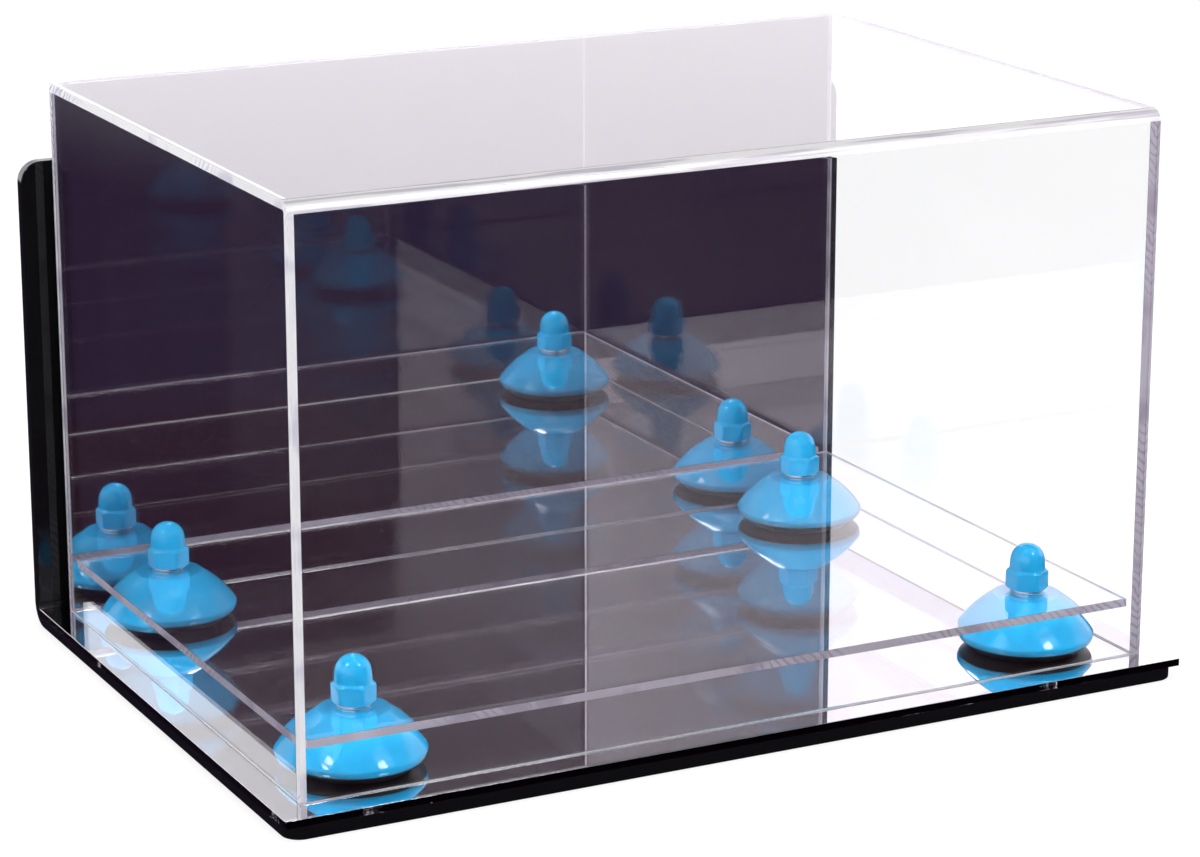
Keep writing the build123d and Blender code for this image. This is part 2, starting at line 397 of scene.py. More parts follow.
@dataclass(frozen=True)
class MirrorCoat:
    """The metal film of a mirror sheet, very slightly wavy."""

    name: str = "mirror_film"
    colour: Colour = (0.88, 0.87, 0.89, 1.0)
    dull_colour: Colour = (0.88 * 0.97, 0.87 * 0.97, 0.89 * 0.97, 1.0)
    cloud_scale: float = 25.0
    roughness: float = 0.012
    waves: float = 9.0
    wave_strength: float = 0.35
    wave_height: float = 0.00002

    def build(self) -> Material:
        """The finished material."""
        graph, material, place = surface(self.name)
        wavy = graph.relief(graph.noise(place, self.waves), self.wave_strength, self.wave_height)
        tone = graph.mix(graph.noise(place, self.cloud_scale), self.colour, self.dull_colour)
        graph.show(
            graph.coat(
                {"Base Color": tone, "Metallic": 1.0, "Roughness": self.roughness, "Normal": wavy}
            )
        )
        return material


@dataclass(frozen=True)
class BlackAcrylic:
    """Polished black sheet with fine scratches and dust."""

    name: str = "black_acrylic_sheet"
    colour: Colour = (0.0035, 0.0035, 0.004, 1.0)
    roughness: float = 0.035
    scratch_density: float = 60.0
    scratch_width: float = 0.003
    scratch_turn: float = 20.0
    scratch_roughness: float = 0.12
    dust_colour: Colour = (0.12, 0.12, 0.13, 1.0)
    dust_spacing: float = 0.008
    dust_radius: float = 0.00025

    def build(self) -> Material:
        """The finished material."""
        graph, material, place = surface(self.name)
        turn = (0.0, 0.0, self.scratch_turn)
        scratches = graph.hairlines(place, self.scratch_density, self.scratch_width, turn)
        rougher = graph.math("MULTIPLY", scratches, self.scratch_roughness)
        roughness = graph.math("ADD", rougher, self.roughness)
        dust = graph.specks(place, self.dust_spacing, self.dust_radius)
        tone = graph.mix(dust, self.colour, self.dust_colour)
        graph.show(graph.coat({"Base Color": tone, "Roughness": roughness, "IOR": ACRYLIC_IOR}))
        return material


@dataclass(frozen=True)
class BluePlastic:
    """Sky-blue moulded plastic with a soft moulding sheen."""

    name: str = "sky_blue_plastic"
    colour: Colour = (0.022, 0.43, 0.82, 1.0)
    deep_colour: Colour = (0.018, 0.40, 0.78, 1.0)
    cloud_scale: float = 70.0
    smoothest: float = 0.045
    grain_roughness: float = 0.03
    grain_scale: float = 900.0
    ripple_scale: float = 300.0
    ripple_strength: float = 0.1
    ripple_height: float = 0.00002
    ior: float = 1.5

    def build(self) -> Material:
        """The finished material."""
        graph, material, place = surface(self.name)
        tone = graph.mix(graph.noise(place, self.cloud_scale), self.colour, self.deep_colour)
        grain = graph.math("MULTIPLY", graph.noise(place, self.grain_scale), self.grain_roughness)
        roughness = graph.math("ADD", grain, self.smoothest)
        ripple = graph.noise(place, self.ripple_scale)
        normal = graph.relief(ripple, self.ripple_strength, self.ripple_height)
        graph.show(
            graph.coat(
                {"Base Color": tone, "Roughness": roughness, "IOR": self.ior, "Normal": normal}
            )
        )
        return material


@dataclass(frozen=True)
class BlackPlastic:
    """Satin black moulded plastic with a fine grain."""

    name: str = "black_moulded_plastic"
    colour: Colour = (0.012, 0.010, 0.012, 1.0)
    worn_colour: Colour = (0.024, 0.021, 0.024, 1.0)
    worn_scale: float = 180.0
    roughness: float = 0.3
    grain_scale: float = 1400.0
    grain_strength: float = 0.25
    grain_height: float = 0.00004

    def build(self) -> Material:
        """The finished material."""
        graph, material, place = surface(self.name)
        tone = graph.mix(graph.noise(place, self.worn_scale, 3.0), self.colour, self.worn_colour)
        grain = graph.noise(place, self.grain_scale)
        normal = graph.relief(grain, self.grain_strength, self.grain_height)
        graph.show(graph.coat({"Base Color": tone, "Roughness": self.roughness, "Normal": normal}))
        return material


@dataclass(frozen=True)
class Steel:
    """Zinc-plated steel, lightly brushed."""

    name: str = "plated_steel"
    colour: Colour = (0.66, 0.65, 0.63, 1.0)
    dull_colour: Colour = (0.5, 0.49, 0.48, 1.0)
    cloud_scale: float = 260.0
    smoothest: float = 0.13
    brush_roughness: float = 0.15
    brush_scale: float = 500.0
    brush_stretch: tuple = (1.0, 1.0, 14.0)

    def build(self) -> Material:
        """The finished material."""
        graph, material, place = surface(self.name)
        along = graph.stretched(place, self.brush_stretch, (0.0, 0.0, 0.0))
        brushed = graph.math("MULTIPLY", graph.noise(along, self.brush_scale), self.brush_roughness)
        roughness = graph.math("ADD", brushed, self.smoothest)
        tone = graph.mix(graph.noise(place, self.cloud_scale), self.colour, self.dull_colour)
        graph.show(graph.coat({"Base Color": tone, "Metallic": 1.0, "Roughness": roughness}))
        return material


@dataclass(frozen=True)
class BackingPaint:
    """Grey protective paint behind a mirror film."""

    name: str = "grey_backing_paint"
    colour: Colour = (0.16, 0.165, 0.18, 1.0)
    dull_colour: Colour = (0.16 * 0.8, 0.165 * 0.8, 0.18 * 0.8, 1.0)
    mottle_scale: float = 160.0
    roughness: float = 0.5
    grain_scale: float = 700.0
    grain_strength: float = 0.3
    grain_height: float = 0.00005

    def build(self) -> Material:
        """The finished material."""
        graph, material, place = surface(self.name)
        mottle = graph.noise(place, self.mottle_scale, 4.0)
        tone = graph.mix(mottle, self.colour, self.dull_colour)
        grain = graph.noise(place, self.grain_scale)
        normal = graph.relief(grain, self.grain_strength, self.grain_height)
        graph.show(graph.coat({"Base Color": tone, "Roughness": self.roughness, "Normal": normal}))
        return material


@dataclass
class Finishes:
    """Every finish of the case, each built once."""

    clear: Material = field(default_factory=lambda: ClearAcrylic().build())
    # The cover's bright edges: near white, with a painted glow.
    painted_glow_edge: Material = field(default_factory=lambda: CutEdge().build())
    # A dimmer violet copy of the same edge, painted shade, for the cover's right-hand edges, the deck
    # and the mirror back.
    painted_shade_edge: Material = field(
        default_factory=lambda: CutEdge(
            name="violet_sheet_edge",
            glow=(0.80, 0.73, 0.85, 1.0),
            shade=(0.30, 0.22, 0.36, 1.0),
            haze=0.66,
            lit=0.05,
            saw_depth=0.5,
        ).build()
    )
    bend: Material = field(default_factory=lambda: HeatBend().build())
    mirror: Material = field(default_factory=lambda: MirrorCoat().build())
    black: Material = field(default_factory=lambda: BlackAcrylic().build())
    blue: Material = field(default_factory=lambda: BluePlastic().build())
    dark: Material = field(default_factory=lambda: BlackPlastic().build())
    steel: Material = field(default_factory=lambda: Steel().build())
    paint: Material = field(default_factory=lambda: BackingPaint().build())


def link(name: str, mesh: bpy.types.Mesh) -> Object:
    """A new object for a mesh, in the scene."""
    made = bpy.data.objects.new(name, mesh)
    bpy.context.scene.collection.objects.link(made)
    return made


def plain(piece: Object) -> Object:
    """The piece with its modifiers turned into plain mesh."""
    graph = bpy.context.evaluated_depsgraph_get()
    mesh = bpy.data.meshes.new_from_object(
        piece.evaluated_get(graph), preserve_all_data_layers=True, depsgraph=graph
    )
    piece.modifiers.clear()
    old = piece.data
    piece.data = mesh
    mesh.name = piece.name
    bpy.data.meshes.remove(old)
    return piece


def merged(node: str) -> BMesh:
    """The mesh of a CAD node with its triangles joined and its flat faces whole."""
    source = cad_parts[node].data
    built = bmesh.new()
    corners = [built.verts.new(vertex.co) for vertex in source.vertices]
    for polygon in source.polygons:
        built.faces.new([corners[i] for i in polygon.vertices])
    bmesh.ops.remove_doubles(built, verts=built.verts, dist=MERGE_DISTANCE)
    bmesh.ops.dissolve_limit(built, angle_limit=FLAT_ANGLE, verts=built.verts, edges=built.edges)
    return built


def inset(built: BMesh, low: tuple, high: tuple) -> None:
    """Draws the outermost vertices of a mesh inwards.

    Args:
        built: The mesh.
        low: How far in its lowest vertices go on each axis.
        high: How far in its highest vertices go on each axis.
    """
    for axis in range(3):
        values = [vertex.co[axis] for vertex in built.verts]
        bottom, top = min(values), max(values)
        for vertex in built.verts:
            if vertex.co[axis] < bottom + OUTER_BAND:
                vertex.co[axis] += low[axis]
            elif vertex.co[axis] > top - OUTER_BAND:
                vertex.co[axis] -= high[axis]


def finish_sides(built: BMesh, index: int, *ways: Way) -> None:
    """Gives a material to the flat outer faces that look the given ways.

    Args:
        built: The mesh.
        index: Place of the material in the piece's list.
        ways: The directions.
    """
    built.normal_update()
    for way in ways:
        towards = Vector(way.value)
        furthest = max(vertex.co.dot(towards) for vertex in built.verts)
        for face in built.faces:
            flat = face.normal.dot(towards) > SQUARE_ON
            if flat and face.calc_center_median().dot(towards) > furthest - SIDE_BAND:
                face.material_index = index


def solid(name: str, built: BMesh, materials: Iterable[Material], edge: float) -> Object:
    """Makes a piece of a closed mesh and rounds its edges.

    Args:
        name: The piece's name.
        built: The mesh, which is used up.
        materials: Its materials, in order.
        edge: Width of the rounding on every sharp edge, or 0 for none.

    Returns:
        The piece, as a plain mesh.
    """
    mesh = bpy.data.meshes.new(name)
    built.to_mesh(mesh)
    built.free()
    for material in materials:
        mesh.materials.append(material)
    mesh.shade_smooth()
    piece = link(name, mesh)
    if edge > 0:
        bevel = piece.modifiers.new("edge", "BEVEL")
        bevel.width = edge
        bevel.segments = 2
        bevel.limit_method = "ANGLE"
        bevel.angle_limit = SHARP_ANGLE
        bevel.use_clamp_overlap = False
    weighted = piece.modifiers.new("normals", "WEIGHTED_NORMAL")
    weighted.keep_sharp = True
    return plain(piece)


def arc(start: Point, middle: Point, end: Point, steps: int) -> list[Point]:
    """Points on the arc through three points, both ends included."""
    ax, ay = start
    bx, by = middle
    cx, cy = end
    d = 2 * (ax * (by - cy) + bx * (cy - ay) + cx * (ay - by))
    a2, b2, c2 = ax * ax + ay * ay, bx * bx + by * by, cx * cx + cy * cy
    ux = (a2 * (by - cy) + b2 * (cy - ay) + c2 * (ay - by)) / d
    uy = (a2 * (cx - bx) + b2 * (ax - cx) + c2 * (bx - ax)) / d
    radius = math.hypot(ax - ux, ay - uy)
    first = math.atan2(ay - uy, ax - ux)
    mid = math.atan2(by - uy, bx - ux) - first
    last = math.atan2(cy - uy, cx - ux) - first
    turn = math.tau
    mid, last = mid % turn, last % turn
    if mid > last:
        last -= turn
    angles = [first + last * i / steps for i in range(steps + 1)]
    return [(ux + radius * math.cos(a), uy + radius * math.sin(a)) for a in angles]


def columns(section: Callable[[float], list[Point]], turns: int, loop: bool) -> BMesh:
    """A closed form about Z from sections that may change as they go round.

    Args:
        section: Gives the (radius, height) points at an angle, always as many of them.
        turns: How many sections there are.
        loop: True where each section is closed, and False where it starts and ends on the axis.

    Returns:
        The mesh, with its faces outwards.
    """
    built = bmesh.new()
    rings = []
    for i in range(turns):
        angle = math.tau * i / turns
        spot = [(r * math.cos(angle), r * math.sin(angle), z) for r, z in section(angle)]
        rings.append([built.verts.new(p) for p in spot])
    count = len(rings[0])
    for i in range(turns):
        here, there = rings[i], rings[(i + 1) % turns]
        for j in range(count if loop else count - 1):
            k = (j + 1) % count
            built.faces.new((here[j], there[j], there[k], here[k]))
    bmesh.ops.remove_doubles(built, verts=built.verts, dist=1e-7)
    bmesh.ops.dissolve_degenerate(built, edges=built.edges, dist=1e-7)
    bmesh.ops.recalc_face_normals(built, faces=built.faces)
    return built


class FourPlaces:
    """Geometry Nodes tree that repeats one piece at the four screws."""

    def __init__(self) -> None:
        """Builds the tree."""
        self.tree = bpy.data.node_groups.new("at_four_screws", "GeometryNodeTree")
        sides = self.tree.interface
        self.sockets = {}
        for name, kind in (
            ("Piece", "NodeSocketObject"),
            ("Centre", "NodeSocketVector"),
            ("Spacing X", "NodeSocketFloat"),
            ("Spacing Y", "NodeSocketFloat"),
            ("Turn", "NodeSocketFloat"),
            ("Seed", "NodeSocketInt"),
            ("Finish", "NodeSocketMaterial"),
        ):
            socket = sides.new_socket(name, in_out="INPUT", socket_type=kind)
            self.sockets[name] = socket.identifier
        sides.new_socket("Geometry", in_out="OUTPUT", socket_type="NodeSocketGeometry")
        graph = Graph(self.tree)
        given = graph.add("NodeGroupInput").outputs
        grid = graph.add(
            "GeometryNodeMeshGrid",
            {
                "Size X": given["Spacing X"],
                "Size Y": given["Spacing Y"],
                "Vertices X": 2,
                "Vertices Y": 2,
            },
        )
        placed = graph.add(
            "GeometryNodeSetPosition",
            {"Geometry": grid.outputs["Mesh"], "Offset": given["Centre"]},
        )
        unit = graph.add("GeometryNodeObjectInfo", {"Object": given["Piece"]})
        chance = graph.add("FunctionNodeRandomValue", data_type="FLOAT")
        self.tree.links.new(given["Turn"], chance.inputs[3])
        self.tree.links.new(given["Seed"], chance.inputs[8])
        chance.inputs[2].default_value = 0.0
        angles = graph.add("ShaderNodeCombineXYZ", {"Z": chance.outputs[1]})
        turned = graph.add("FunctionNodeEulerToRotation", {0: angles.outputs[0]})
        copies = graph.add(
            "GeometryNodeInstanceOnPoints",
            {
                "Points": placed.outputs[0],
                "Instance": unit.outputs["Geometry"],
                "Rotation": turned.outputs[0],
            },
        )
        real = graph.add("GeometryNodeRealizeInstances", {0: copies.outputs[0]})
        dressed = graph.add(
            "GeometryNodeSetMaterial", {"Geometry": real.outputs[0], "Material": given["Finish"]}
        )
        graph.add("NodeGroupOutput", {0: dressed.outputs[0]})

    def repeat(
        self,
        name: str,
        unit: Object,
        finish: Material,
        slot: Slot,
        stem: str,
        seed: int,
    ) -> None:
        """Makes one piece of four copies, at the four screws, and puts it on the base.

        Args:
            name: The name of the new piece.
            unit: The single piece, about Z, at its own height. It is removed.
            finish: Its material.
            slot: Its material slot; not used.
            stem: What the names of its four CAD nodes start with.
            seed: Seed of the tree's random turns, which are 0 for every piece here.
        """
        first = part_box("screw_front_left")
        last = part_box("screw_back_right")
        near = (first[0] + first[1]) / 2
        far = (last[0] + last[1]) / 2
        piece = link(name, bpy.data.meshes.new(name))
        modifier = piece.modifiers.new("places", "NODES")
        modifier.node_group = self.tree
        centre = (near + far) / 2
        values = {
            "Piece": unit,
            "Centre": (centre.x, centre.y, 0.0),
            "Spacing X": far.x - near.x,
            "Spacing Y": far.y - near.y,
            "Turn": 0.0,
            "Seed": seed,
            "Finish": finish,
        }
        for key, value in values.items():
            modifier[self.sockets[key]] = value
        plain(piece)
        bpy.data.objects.remove(unit)
        settle(piece, Body.BASE, slot, *(f"{stem}_{place}" for place in PLACES))


def settle(piece: Object, body: Body, slot: Slot, *nodes: str) -> None:
    """Puts a finished piece on its body, in place of its CAD nodes, and logs it."""
    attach(piece, body.value)
    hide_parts(*nodes)
    LOG.info("%s: %d faces on %s", piece.name, len(piece.data.polygons), body.value)


@dataclass
class Cover:
    """The lift-off cover: bent front and top, two side walls and a mirror back."""

    edge: float = 0.00022
    paint_thickness: float = 0.00012
    bend_slope: float = 0.1

    def walls(self, finishes: Finishes) -> None:
        """The clear sheets, with a hair's breadth of air at each joint."""
        wrap = merged("cover_front_top")
        inset(wrap, (0, 0, AIR_GAP), (0, 0, 0))
        wrap.normal_update()
        for face in wrap.faces:
            if min(abs(face.normal.y), abs(face.normal.z)) > self.bend_slope:
                face.material_index = 2
        # The wrap's left, back and bottom end faces get the painted glow edge, its right end the painted
        # shade edge.
        finish_sides(wrap, 1, Way.LEFT, Way.BACK, Way.DOWN)
        finish_sides(wrap, 3, Way.RIGHT)
        materials = [finishes.clear, finishes.painted_glow_edge, finishes.bend, finishes.painted_shade_edge]
        piece = solid("front_and_top_sheet", wrap, materials, self.edge)
        settle(piece, Body.COVER, Slot.CLEAR, "cover_front_top")
        # The left wall's edges get the painted glow edge, the right wall's the painted shade edge.
        for node, name, cut in (
            ("cover_left_side", "left_wall", finishes.painted_glow_edge),
            ("cover_right_side", "right_wall", finishes.painted_shade_edge),
        ):
            wall = merged(node)
            inset(wall, (0, AIR_GAP, AIR_GAP), (0, 0, AIR_GAP))
            finish_sides(wall, 1, Way.FRONT, Way.BACK, Way.UP, Way.DOWN)
            piece = solid(name, wall, [finishes.clear, cut], self.edge)
            settle(piece, Body.COVER, Slot.CLEAR, node)

    def back(self, finishes: Finishes) -> None:
        """The mirror back panel: clear sheet, metal film and backing paint."""
        low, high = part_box("cover_back_mirror")
        sheet = merged("cover_back_mirror")
        behind = self.paint_thickness + AIR_GAP
        inset(sheet, (AIR_GAP, 0, AIR_GAP), (AIR_GAP, behind, AIR_GAP))
        finish_sides(sheet, 1, Way.BACK)
        # The mirror's end faces get the painted shade edge.
        finish_sides(sheet, 2, Way.LEFT, Way.RIGHT, Way.UP, Way.DOWN)
        materials = [finishes.clear, finishes.mirror, finishes.painted_shade_edge]
        piece = solid("mirror_back", sheet, materials, self.edge)
        settle(piece, Body.COVER, Slot.MIRROR, "cover_back_mirror")
        coat = merged("cover_back_mirror")
        front = high.y - low.y - self.paint_thickness
        inset(coat, (AIR_GAP, front, AIR_GAP), (AIR_GAP, 0, AIR_GAP))
        paint = solid("mirror_back_paint", coat, [finishes.paint], 0)
        settle(paint, Body.COVER, Slot.MIRROR)

    def build(self, finishes: Finishes) -> None:
        """Builds and dresses the cover."""
        self.walls(finishes)
        self.back(finishes)


@dataclass
class Base:
    """The wall bracket and the mirror sheet on its shelf."""

    edge: float = 0.0003
    mirror_edge: float = 0.0002

    def bracket(self, finishes: Finishes) -> None:
        """The bent black bracket."""
        sheet = merged("wall_bracket")
        piece = solid("bent_wall_bracket", sheet, [finishes.black], self.edge)
        settle(piece, Body.BASE, Slot.BLACK, "wall_bracket")

    def mirror(self, finishes: Finishes) -> None:
        """The base's mirror sheet, its film on top."""
        sheet = merged("base_mirror")
        inset(sheet, (0, 0, AIR_GAP), (0, 0, 0))
        finish_sides(sheet, 1, Way.UP)
        piece = solid("mirror_base", sheet, [finishes.clear, finishes.mirror], self.mirror_edge)
        settle(piece, Body.BASE, Slot.MIRROR, "base_mirror")

    def build(self, finishes: Finishes) -> None:
        """Builds and dresses the base."""
        self.bracket(finishes)
        self.mirror(finishes)


@dataclass
class Deck:
    """The clear deck on the risers."""

    edge: float = 0.0002

    def build(self, finishes: Finishes) -> None:
        """Builds and dresses the deck."""
        sheet = merged("deck")
        inset(sheet, (0, 0, AIR_GAP), (0, 0, 0))
        # The deck's end faces get the painted shade edge.
        finish_sides(sheet, 1, Way.LEFT, Way.RIGHT, Way.FRONT, Way.BACK)
        piece = solid("clear_deck", sheet, [finishes.clear, finishes.painted_shade_edge], self.edge)
        settle(piece, Body.BASE, Slot.CLEAR, "deck")


@dataclass
class RiserSet:
    """Four hollow domed risers, each with a boss round its screw and a black ring for a foot."""

    diameter: float = 0.045
    top_diameter: float = 0.023
    rim_inset: float = 0.0005
    belly_height: float = 0.0053
    wall: float = 0.0022
    top_wall: float = 0.0026
    boss_wall: float = 0.0026
    bore: float = 0.003525
    bulge: float = 0.0006
    hip_angle: float = 60.0
    top_edge: float = 0.0008
    top_round: Point = (0.35, 0.09)
    foot_height: float = 0.003
    foot_taper: float = 0.0038
    foot_land: float = 0.0027
    edge: float = 0.0001
    foot_edge: float = 0.00015
    turns: int = 96

    def section(self, height: float) -> list[Point]:
        """The closed (radius, height) section of one riser."""
        outer, top = self.diameter / 2, self.top_diameter / 2
        rim = outer - self.rim_inset
        belly = self.belly_height
        rise = (belly - self.foot_height) / 2
        reach = self.rim_inset * math.sin(math.radians(self.hip_angle))
        hip = (rim + reach, self.foot_height + rise)
        low = arc((rim, self.foot_height + AIR_GAP), hip, (outer, belly), steps=8)
        run = Vector((top - outer, height - belly))
        outwards = Vector((run.y, -run.x)).normalized()
        swell = Vector(((outer + top) / 2, (belly + height) / 2)) + outwards * self.bulge
        crest = (top, height - self.top_edge / 2)
        side = arc((outer, belly), (swell.x, swell.y), crest, steps=22)
        across, down = (self.top_edge * share for share in self.top_round)
        edge = arc(side[-1], (top - across, height - down), (top - self.top_edge, height), steps=4)
        ceiling = height - self.top_wall
        boss = self.bore + self.boss_wall
        inside = [
            (self.bore, height),
            (self.bore, 0.0),
            (boss, 0.0),
            (boss, ceiling),
            (top - self.top_edge, ceiling),
            (outer - self.wall, belly),
            (rim - self.wall, self.foot_height + AIR_GAP),
        ]
        return low + side[1:] + edge[1:] + inside

    def shells(self, finishes: Finishes, places: FourPlaces) -> None:
        """The sky-blue risers."""
        low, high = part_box("riser_front_left")
        bottom = low.z + AIR_GAP
        raised = [(r, z + bottom) for r, z in self.section(high.z - bottom - AIR_GAP)]
        form = columns(lambda _: raised, self.turns, True)
        unit = solid("riser", form, [finishes.blue], self.edge)
        places.repeat("domed_risers", unit, finishes.blue, Slot.BLUE, "riser", 1)

    def feet(self, finishes: Finishes, places: FourPlaces) -> None:
        """The black rings between the risers' rims and the base."""
        low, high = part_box("riser_foot_front_left")
        rim = self.diameter / 2 - self.rim_inset
        land = rim - self.foot_taper
        inner = land - self.foot_land
        bottom = low.z + AIR_GAP
        ring = [(inner, bottom), (land, bottom), (rim, high.z), (inner, high.z)]
        form = columns(lambda _: ring, self.turns, True)
        unit = solid("foot", form, [finishes.dark], self.foot_edge)
        places.repeat("riser_foot_rings", unit, finishes.dark, Slot.BLACK_PLASTIC, "riser_foot", 5)

    def build(self, finishes: Finishes, places: FourPlaces) -> None:
        """Builds and dresses the risers."""
        self.shells(finishes, places)
        self.feet(finishes, places)


@dataclass
class FastenerSet:
    """The screws, washers and domed cap nuts at the four risers."""

    nut_across_flats: float = 0.0126
    nut_hex_height: float = 0.0066
    nut_foot: float = 0.0122
    dome_diameter: float = 0.0117
    dome_flare: float = 0.0001
    dome_fullness: float = 3.2
    dome_steps: int = 28
    flare_share: float = 0.15
    nut_corner_cut: float = 0.985
    nut_corner_softness: float = 30.0
    chamfer: float = 30.0
    foot_break: float = 0.0001
    shoulder_drop: float = 0.0003
    shoulder_inset: float = 0.00012
    shoulder_lip: float = 0.00002
    washer_bore: float = 0.0035
    washer_edge: float = 0.00015
    screw_edge: float = 0.0001
    turns: int = 96

    def nut_section(self, angle: float, height: float) -> list[Point]:
        """The nut's (radius, height) outline at an angle, from foot to crown."""
        apothem = self.nut_across_flats / 2
        fold = (angle + math.pi / 6) % (math.pi / 3) - math.pi / 6
        flat = apothem / math.cos(fold)
        corner = apothem / math.cos(math.pi / 6) * self.nut_corner_cut
        p = self.nut_corner_softness
        radius = (flat**-p + corner**-p) ** (-1 / p)
        dome, foot = self.dome_diameter / 2, self.nut_foot / 2
        slope = math.tan(math.radians(self.chamfer))
        low = max(radius - foot, 0.0) * slope
        shoulder = self.nut_hex_height - (radius - dome) * slope
        points = [
            (0.0, 0.0),
            (foot * 0.97, 0.0),
            (foot, self.foot_break),
            (radius, low + self.foot_break),
            (radius, shoulder * 0.5),
            (radius, shoulder - self.shoulder_drop),
            (radius - self.shoulder_inset, shoulder - self.shoulder_lip),
            (dome + self.dome_flare, self.nut_hex_height),
        ]
        rise = height - self.nut_hex_height
        for i in range(1, self.dome_steps + 1):
            share = math.sin(math.pi / 2 * i / self.dome_steps)
            flare = self.dome_flare * max(1 - share / self.flare_share, 0.0) ** 2
            round_off = max(1 - share**self.dome_fullness, 0.0) ** 0.5
            points.append((dome * round_off + flare, self.nut_hex_height + rise * share))
        return points

    def nuts(self, finishes: Finishes, places: FourPlaces) -> None:
        """The sky-blue cap nuts."""
        low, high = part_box("cap_nut_front_left")
        height = high.z - low.z

        def section(angle: float) -> list[Point]:
            """The outline at its place above the deck."""
            return [(r, z + low.z) for r, z in self.nut_section(angle, height)]

        unit = solid("nut", columns(section, self.turns, False), [finishes.blue], 0)
        places.repeat("domed_cap_nuts", unit, finishes.blue, Slot.BLUE, "cap_nut", 2)

    def washers(self, finishes: Finishes, places: FourPlaces) -> None:
        """The flat washers under the nuts."""
        low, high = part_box("washer_front_left")
        outer = (high.x - low.x) / 2
        bottom = low.z + AIR_GAP
        ring = [(self.washer_bore, bottom), (outer, bottom), (outer, high.z), (self.washer_bore, high.z)]
        form = columns(lambda _: ring, self.turns, True)
        unit = solid("washer", form, [finishes.steel], self.washer_edge)
        places.repeat("flat_washers", unit, finishes.steel, Slot.STEEL, "washer", 3)

    def screws(self, finishes: Finishes, places: FourPlaces) -> None:
        """The flat-head screws."""
        low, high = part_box("screw_front_left")
        single = merged("screw_front_left")
        middle = (low + high) / 2
        bmesh.ops.translate(single, verts=single.verts, vec=(-middle.x, -middle.y, 0))
        unit = solid("screw", single, [finishes.steel], self.screw_edge)
        places.repeat("flat_head_screws", unit, finishes.steel, Slot.STEEL, "screw", 4)

    def build(self, finishes: Finishes, places: FourPlaces) -> None:
        """Builds and dresses the fasteners."""
        self.nuts(finishes, places)
        self.washers(finishes, places)
        self.screws(finishes, places)


@dataclass(frozen=True)
class Lamp:
    """One lamp aimed at the case. A highlight lamp is one that polished faces mirror."""

    name: str
    azimuth: float
    elevation: float
    distance: float
    size: tuple[float, float]
    power: float
    highlight: bool = False


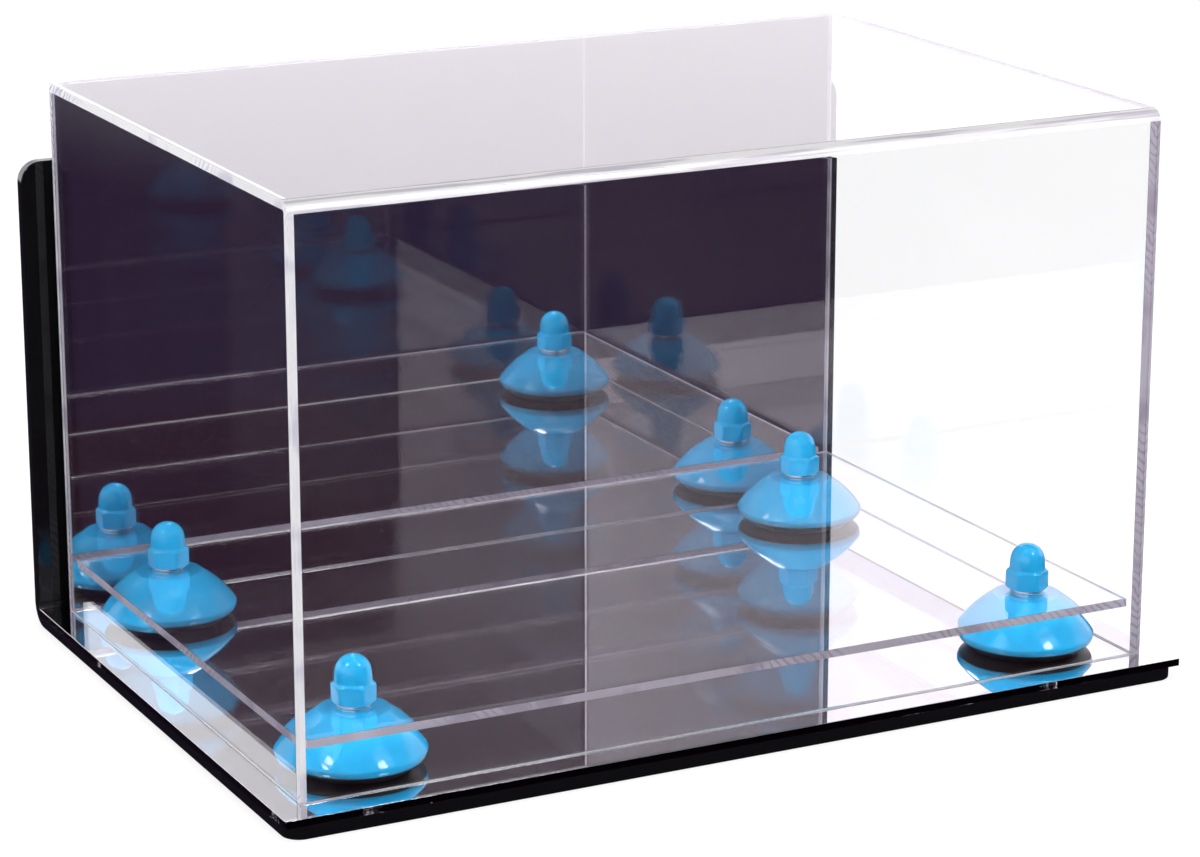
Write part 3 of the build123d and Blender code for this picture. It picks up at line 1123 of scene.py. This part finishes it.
@dataclass
class Studio:
    """Camera, pale floor, soft lamps and the room that polished faces mirror."""

    camera_place: tuple = (-0.5511, -1.0847, 0.4244)
    camera_azimuth: float = CAMERA_AZIMUTH
    camera_elevation: float = 15.91
    lens: float = 114.35
    aim: tuple = (0.0, 0.0, 0.08)
    ambient: float = 0.82
    ceiling: float = 0.3
    ceiling_edge: Span = (0.42, 0.62)
    window: float = 1.95
    window_azimuth: float = -153.0
    window_elevation: float = 15.0
    window_edge: Span = (0.88, 0.95)
    window_tint: tuple = (1.0, 1.0, 1.03)
    backdrop: float = 1.4
    backdrop_tint: tuple = (1.02, 0.97, 1.03)
    front_azimuth: float = 27.0
    front_edge: Span = (0.58, 0.8)
    below_edge: Span = (0.03, -0.08)
    front_violet: Colour = (0.024, 0.014, 0.034, 1.0)
    front_red: Colour = (0.034, 0.014, 0.021, 1.0)
    front_clouds: Span = (0.35, 0.65)
    front_cloud_scale: float = 1.6
    seen_through: float = 1.14
    floor_size: float = 5.0
    floor_colour: float = 0.8
    floor_seen_colour: float = 0.32
    floor_glow: float = 0.78
    lamps: tuple[Lamp, ...] = (
        Lamp("left_softbox", CAMERA_AZIMUTH - 57, 50.0, 1.3, (0.5, 0.5), 1.4),
        Lamp("right_softbox", CAMERA_AZIMUTH + 57, 50.0, 1.3, (0.5, 0.5), 1.4),
        Lamp("top_softbox", 0.0, 84.0, 1.4, (0.4, 0.3), 1.0),
        Lamp("left_bulb", CAMERA_AZIMUTH - 50, 43.0, 1.3, (0.24, 0.24), 6.5, True),
        Lamp("right_bulb", CAMERA_AZIMUTH + 50, 43.0, 1.3, (0.24, 0.24), 6.5, True),
    )

    @staticmethod
    def direction(azimuth: float, elevation: float) -> Vector:
        """The unit vector from the object towards an azimuth and elevation in degrees."""
        a, e = math.radians(azimuth), math.radians(elevation)
        return Vector((math.sin(a) * math.cos(e), -math.cos(a) * math.cos(e), math.sin(e)))

    def camera(self) -> None:
        """The camera, where the photograph was taken from."""
        data = bpy.data.cameras.new("camera")
        data.lens = self.lens
        data.sensor_width = 36.0
        data.clip_start, data.clip_end = 0.05, 30.0
        camera = bpy.data.objects.new("camera", data)
        bpy.context.scene.collection.objects.link(camera)
        camera.location = self.camera_place
        camera.rotation_mode = "QUATERNION"
        back = self.direction(self.camera_azimuth, self.camera_elevation)
        camera.rotation_quaternion = (-back).to_track_quat("-Z", "Y")
        bpy.context.scene.camera = camera

    def lights(self) -> None:
        """The soft lamps, and the smaller bulbs that give polished faces their highlights."""
        for lamp in self.lamps:
            data = bpy.data.lights.new(lamp.name, "AREA")
            data.shape = "RECTANGLE"
            data.size, data.size_y = lamp.size
            data.energy = lamp.power
            light = bpy.data.objects.new(lamp.name, data)
            bpy.context.scene.collection.objects.link(light)
            towards = self.direction(lamp.azimuth, lamp.elevation)
            light.location = Vector(self.aim) + towards * lamp.distance
            light.rotation_mode = "QUATERNION"
            light.rotation_quaternion = towards.to_track_quat("Z", "Y")
            light.visible_diffuse = not lamp.highlight
            light.visible_glossy = lamp.highlight

    def mirrored_room(self, graph: Graph, way: Socket) -> Socket:
        """What polished faces mirror: a bright backdrop and window, a dark front and ceiling."""
        height = graph.add("ShaderNodeSeparateXYZ", {0: way}).outputs["Z"]
        facing = graph.towards(way, self.direction(self.front_azimuth, 0.0))
        in_front = graph.step(facing, *self.front_edge)
        dark = graph.math("MAXIMUM", in_front, graph.step(height, *self.below_edge))
        clouds = graph.step(graph.noise(way, self.front_cloud_scale), *self.front_clouds)
        shade = graph.mix(clouds, self.front_violet, self.front_red)
        white = (*(self.backdrop * tint for tint in self.backdrop_tint), 1.0)
        glare = (*(self.window * tint for tint in self.window_tint), 1.0)
        backdrop = graph.mix(dark, white, shade)
        window = self.direction(self.window_azimuth, self.window_elevation)
        in_window = graph.step(graph.towards(way, window), *self.window_edge)
        lit = graph.mix(in_window, backdrop, glare)
        return graph.mix(graph.step(height, *self.ceiling_edge), lit, grey(self.ceiling))

    def room(self) -> None:
        """The world: white to the eye, and a room to polished faces."""
        world = bpy.data.worlds.new("room")
        bpy.context.scene.world = world
        world.use_nodes = True
        world.cycles.sampling_method = "NONE"
        graph = Graph(world.node_tree)
        way = graph.add("ShaderNodeTexCoord").outputs["Generated"]
        mirrored = self.mirrored_room(graph, way)
        straight = graph.mix(graph.after("Transmission"), grey(1.0), grey(self.seen_through))
        seen = graph.mix(graph.after("Glossy"), straight, mirrored)
        seen = graph.mix(graph.after("Diffuse"), seen, grey(self.ambient))
        shine = graph.add("ShaderNodeBackground", {"Color": seen, "Strength": 1.0})
        graph.add("ShaderNodeOutputWorld", {"Surface": shine.outputs[0]})

    def floor(self) -> None:
        """The pale floor, which shows white to the eye and keeps a faint shadow."""
        built = bmesh.new()
        bmesh.ops.create_grid(built, x_segments=1, y_segments=1, size=self.floor_size / 2)
        mesh = bpy.data.meshes.new("floor")
        built.to_mesh(mesh)
        built.free()
        graph, material, _ = surface("pale_floor")
        matt = graph.add("ShaderNodeBsdfDiffuse", {"Color": grey(self.floor_colour)}).outputs[0]
        dim = graph.add("ShaderNodeBsdfDiffuse", {"Color": grey(self.floor_seen_colour)}).outputs[0]
        brighter = graph.math("MULTIPLY", graph.after("Transmission"), self.seen_through - 1.0)
        strength = graph.math("ADD", brighter, self.floor_glow)
        glow = graph.add("ShaderNodeEmission", {"Strength": strength}).outputs[0]
        seen = graph.add("ShaderNodeAddShader", {0: dim, 1: glow}).outputs[0]
        clear = graph.add("ShaderNodeBsdfTransparent").outputs[0]
        not_to_lamp = graph.math("SUBTRACT", 1.0, graph.to_lamp())
        mirrored = graph.math("MULTIPLY", graph.after("Glossy"), not_to_lamp)
        graph.show(graph.blend(mirrored, graph.blend(graph.after("Diffuse"), seen, matt), clear))
        mesh.materials.append(material)
        link("floor", mesh)

    def bounces(self) -> None:
        """Enough light bounces for sheets behind sheets and mirrors."""
        cycles = bpy.context.scene.cycles
        cycles.max_bounces = 24
        cycles.transmission_bounces = 24
        cycles.glossy_bounces = 12
        cycles.transparent_max_bounces = 24
        cycles.caustics_reflective = False

    def build(self) -> None:
        """Sets up the studio."""
        self.camera()
        self.lights()
        self.room()
        self.floor()
        self.bounces()
        view = bpy.context.scene.view_settings
        view.view_transform = "Standard"
        LOG.info("studio: %d lamps", len(self.lamps))


def main() -> None:
    """Builds the case and its studio, in order."""
    logging.basicConfig(level=logging.INFO, format="%(name)s %(message)s")
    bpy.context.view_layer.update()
    Studio().build()
    finishes = Finishes()
    places = FourPlaces()
    Base().build(finishes)
    RiserSet().build(finishes, places)
    Deck().build(finishes)
    FastenerSet().build(finishes, places)
    Cover().build(finishes)


if __name__ == "__main__":
    main()
